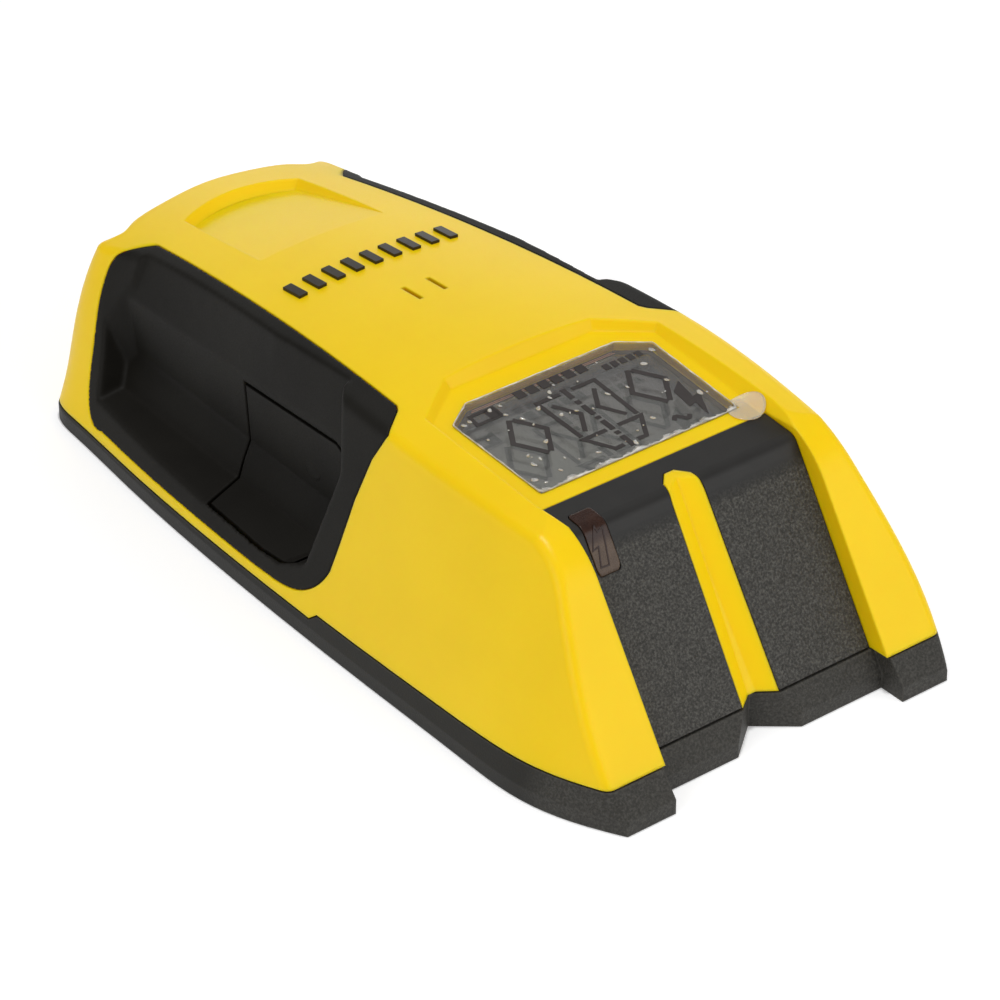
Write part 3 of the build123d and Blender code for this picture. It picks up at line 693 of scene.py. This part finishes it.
def film_tab():
    """Round pull tab at the front right corner, lifting as it crosses the lip of the recess."""
    bm = bmesh.new()
    first, last = TAB_ARC
    lip = FILM_CORNERS[0][0]
    grid = []
    for k in range(TAB_SPOKES + 1):
        angle = first + (last - first) * k / TAB_SPOKES
        edge = TAB_CENTRE + Vector((math.cos(angle), math.sin(angle))) * TAB_RADIUS
        row = []
        for ring in range(1, TAB_RINGS + 1):
            spot = TAB_CORNER.lerp(edge, ring / TAB_RINGS)
            lift = TAB_CURL * max(0.0, spot.x - lip) ** 2
            row.append(bm.verts.new(on_face(spot.x, spot.y, TAB_LEVEL + lift)))
        grid.append(row)
    hub = bm.verts.new(on_face(TAB_CORNER.x, TAB_CORNER.y, TAB_LEVEL))
    for a, b in zip(grid, grid[1:]):
        bm.faces.new((hub, a[0], b[0]))
        for k in range(TAB_RINGS - 1):
            bm.faces.new((a[k], a[k + 1], b[k + 1], b[k]))
    obj = link_mesh("film_tab", to_mesh("film_tab", bm), TAB)
    thick = obj.modifiers.new("thick", "SOLIDIFY")
    thick.thickness = TAB_THICKNESS


RIM_STEP, RIM_CREST = 0.4, 0.12
RIM_WIDTH, RIM_NARROWEST = 0.34, 0.2
LOOSE_END, LOOSE_FADE = 4.6, 1.2


def film_rim_painted_highlight():
    """Cut edge of the film as a whitish raised bead, a painted highlight, widening into an uneven painted
    highlight band where its front edge has come away.
    """
    outline = resample(window_outline(FILM_CORNERS, FILM_CORNER_RADIUS), RIM_STEP)
    bm = bmesh.new()
    count = len(outline)
    rows = []
    for i, here in enumerate(outline):
        run = (outline[(i + 1) % count] - outline[i - 1]).normalized()
        inward = Vector((-run.y, run.x))
        wave = math.sin(i * 0.37) + 0.6 * math.sin(i * 0.91 + 1.3) + 0.4 * math.sin(i * 2.3)
        loose = max(0.0, min(1.0, (LOOSE_END - here.y) / LOOSE_FADE))
        width = RIM_WIDTH + 0.07 * wave + loose * (0.42 + 0.26 * wave)
        inner = here + inward * max(RIM_NARROWEST, width)
        profile = ((here, FILM_LEVEL), (here.lerp(inner, 0.45), FILM_LEVEL + RIM_CREST), (inner, FILM_LEVEL))
        rows.append([bm.verts.new(on_face(q.x, q.y, level)) for q, level in profile])
    for a, b in zip(rows, rows[1:] + rows[:1]):
        bridge(bm, a, b)
    obj = link_mesh("film_rim_painted_highlight", to_mesh("film_rim_painted_highlight", bm), PAINTED_RIM_HIGHLIGHT)


BUBBLE_COUNT, BUBBLE_SEED, BUBBLE_SIDES = 46, 11, 14
BUBBLE_SIZES = (0.14, 0.18, 0.22, 0.3, 0.42, 0.55)
BUBBLE_FOOT, BUBBLE_SHOULDER, BUBBLE_TOP = FILM_LEVEL + 0.045, FILM_LEVEL + 0.13, FILM_LEVEL + 0.15


def film_bubbles():
    """Small flat air bubbles caught under the film."""
    rng = random.Random(BUBBLE_SEED)
    bm = bmesh.new()
    for _ in range(BUBBLE_COUNT):
        x, run = rng.uniform(-19.5, 19.5), rng.uniform(4.6, 27.5)
        size = rng.choice(BUBBLE_SIZES)
        long, turn = rng.uniform(1.0, 1.7), rng.uniform(0, math.pi)
        rim, shoulder = [], []
        for k in range(BUBBLE_SIDES):
            angle = 2 * math.pi * k / BUBBLE_SIDES
            reach = size * (1 + 0.16 * math.sin(2 * angle + turn) + 0.1 * math.sin(3 * angle + 2 * turn))
            dx, dy = reach * long * math.cos(angle), reach * math.sin(angle)
            step = (dx * math.cos(turn) - dy * math.sin(turn), dx * math.sin(turn) + dy * math.cos(turn))
            rim.append(bm.verts.new(on_face(x + step[0], run + step[1], BUBBLE_FOOT)))
            shoulder.append(bm.verts.new(on_face(x + 0.7 * step[0], run + 0.7 * step[1], BUBBLE_SHOULDER)))
        bridge(bm, rim, shoulder)
        top = bm.verts.new(on_face(x, run, BUBBLE_TOP))
        for k in range(BUBBLE_SIDES):
            bm.faces.new((shoulder[k], shoulder[(k + 1) % BUBBLE_SIDES], top))
        bm.faces.new(rim[::-1])
    obj = link_mesh("film_bubbles", to_mesh("film_bubbles", bm), BUBBLE)


def window_border():
    """Dark printed border inside the window, hiding the seat and the cut edge of the case."""
    bm = bmesh.new()
    outer, inner = (window_outline(corners, 0.5) for corners in (BORDER_OUTER, BORDER_INNER))
    profile = ((outer, BORDER_TOP), (inner, BORDER_TOP), (inner, BORDER_FOOT), (outer, BORDER_FOOT))
    rings = [[bm.verts.new(on_face(q.x, q.y, level)) for q in points] for points, level in profile]
    for first, second in zip(rings, rings[1:] + rings[:1]):
        bridge(bm, first, second)
    obj = link_mesh("window_border", to_mesh("window_border", bm), FRAME_GREY, smooth=False)


def bezel_traces():
    """Fine copper lines on the bezel along the rear edge of the display."""
    bm = bmesh.new()
    for run, end in ((28.15, 15.0), (28.5, 14.7)):
        add_stroke(bm, [(-end, run), (end, run)], TRACE_WIDTH, *TRACE_LEVELS, on_face)
    obj = link_mesh("bezel_traces", to_mesh("bezel_traces", bm), COPPER, smooth=False)


BOLT_LEVELS, BOLT_WIDTH = (0.02, 0.16), 0.26


def lens_bolt():
    """Fine dark outline of a plain mains flash on the indicator lens."""
    bm = bmesh.new()
    bolt = [(-18.75, 0.4), (-19.3, 1.3), (-20.45, 3.9), (-19.2, 3.6), (-20.05, 6.8), (-18.45, 6.9),
            (-17.3, 0.9), (-18.5, 1.4)]
    add_stroke(bm, bolt, BOLT_WIDTH, *BOLT_LEVELS, on_nose, True)
    obj = link_mesh("lens_bolt", to_mesh("lens_bolt", bm), BOLT, smooth=False)


# ---------------------------------------------------------------- stage, light, camera
FLOOR_HALF, FLOOR_GAP, FLOOR_GLOW = 6, 0.00005, 0.22
WORLD_STRENGTH = 0.34
CAMERA_PLACE = (-0.38847, -0.49874, 0.41999)
CAMERA_AZIMUTH, CAMERA_ELEVATION = math.radians(-38.327), math.radians(33.174)
CAMERA_LENS, SENSOR_WIDTH = 159.66, 36.0

# Softboxes: name, place, target, size and power in watts.
LIGHTS = (
    ("key_top", (0.0, -0.03, 0.9), (0, -0.03, 0), (0.09, 0.09), 3.5),
    ("sheen_back", (0.66, 0.80, 0.26), (0, 0, 0.03), (0.9, 0.3), 1.2),
    ("fill_front", (0.35, -0.95, 0.42), (0, 0, 0.02), (0.9, 0.6), 3.2),
    ("fill_left", (-0.9, -0.3, 0.5), (0, 0, 0.02), (0.6, 0.5), 2.2),
)


def floor():
    """Plain pale floor, just under the sole."""
    m = Mat("floor_white")
    m.colour(m.ramp(m.noise(8, 2), [(0.3, (0.93, 0.93, 0.93)), (0.7, (0.95, 0.95, 0.95))]))
    m.set(Roughness=0.9, Emission_Color=(1, 1, 1, 1), Emission_Strength=FLOOR_GLOW)
    bm = bmesh.new()
    bmesh.ops.create_grid(bm, x_segments=8, y_segments=8, size=FLOOR_HALF)
    mesh = bpy.data.meshes.new("floor")
    bm.to_mesh(mesh)
    bm.free()
    obj = bpy.data.objects.new("floor", mesh)
    obj.location.z = CAD_BOX[0][2] - FLOOR_GAP
    mesh.materials.append(m.mat)
    bpy.context.scene.collection.objects.link(obj)
    obj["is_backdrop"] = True


def softbox(name, place, target, size, power):
    """White rectangular light that faces its target."""
    data = bpy.data.lights.new(name, "AREA")
    data.shape = "RECTANGLE"
    data.size, data.size_y = size
    data.energy = power
    obj = bpy.data.objects.new(name, data)
    obj.location = place
    obj.rotation_mode = "QUATERNION"
    obj.rotation_quaternion = (Vector(target) - Vector(place)).to_track_quat("-Z", "Y")
    bpy.context.scene.collection.objects.link(obj)


def world():
    """Even white surroundings, shown without any tone curve."""
    scene = bpy.context.scene
    scene.world = bpy.data.worlds.new("studio")
    scene.world.use_nodes = True
    background = scene.world.node_tree.nodes["Background"]
    background.inputs[0].default_value = (1, 1, 1, 1)
    background.inputs[1].default_value = WORLD_STRENGTH
    scene.view_settings.view_transform = "Standard"
    scene.view_settings.look = "None"


def camera():
    """Long lens from the front left, looking down at the nose."""
    right = Vector((math.cos(CAMERA_AZIMUTH), math.sin(CAMERA_AZIMUTH), 0))
    level = math.cos(CAMERA_ELEVATION)
    back = Vector((math.sin(CAMERA_AZIMUTH) * level, -math.cos(CAMERA_AZIMUTH) * level,
                   math.sin(CAMERA_ELEVATION)))
    up = back.cross(right)
    data = bpy.data.cameras.new("camera")
    data.sensor_width = SENSOR_WIDTH
    data.lens = CAMERA_LENS
    data.clip_start, data.clip_end = 0.01, 50
    obj = bpy.data.objects.new("camera", data)
    turn = Matrix((right, up, back)).transposed().to_4x4()
    obj.matrix_world = Matrix.Translation(CAMERA_PLACE) @ turn
    bpy.context.scene.collection.objects.link(obj)
    bpy.context.scene.camera = obj


# ---------------------------------------------------------------- assembly
soft_copy("grip_left_soft", "left_grip", (CASE_EDGE, BUTTON_EDGE))
soft_copy("grip_right_soft", "right_grip", (CASE_EDGE,))
display_marks("display_marks", PRINT_LEVELS, INK)
# Painted shadows of the printed marks, laid on the LCD cell below them.
display_marks("painted_mark_shadows", CELL_LEVELS, PAINTED_MARK_SHADOW)
film_sheet()
film_tab()
film_rim_painted_highlight()
film_bubbles()
window_border()
bezel_traces()
lens_bolt()

floor()
world()
camera()
for light in LIGHTS:
    softbox(*light)

for o in bpy.context.scene.objects:
    if o.type == "MESH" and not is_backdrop(o) and body_of(o) is None:
        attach(o, "casing")
